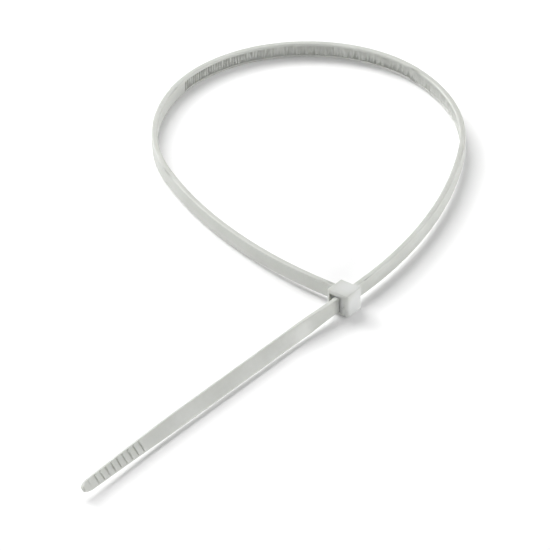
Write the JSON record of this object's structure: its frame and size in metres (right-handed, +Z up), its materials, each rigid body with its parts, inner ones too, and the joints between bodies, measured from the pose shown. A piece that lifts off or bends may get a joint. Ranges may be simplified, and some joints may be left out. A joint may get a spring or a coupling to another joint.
{
  "type": "cable tie",
  "caption": "Natural nylon cable tie, its toothed strap threaded through its own head to an open loop, with a narrowing ribbed tail.",
  "frame": {"origin": "centre of the loop's far bend, in the middle of the strap's width", "axes": "+Z is up, along the strap's width within a degree; -Y points from the far bend to the head, and the tail runs towards -X and -Y"},
  "size_m": [0.104, 0.1746, 0.0058],
  "materials": {
    "nylon": "natural, milky nylon with a soft gloss"
  },
  "bodies": {
    "root": {"cable_tie": "nylon"}
  },
  "joints": []
}
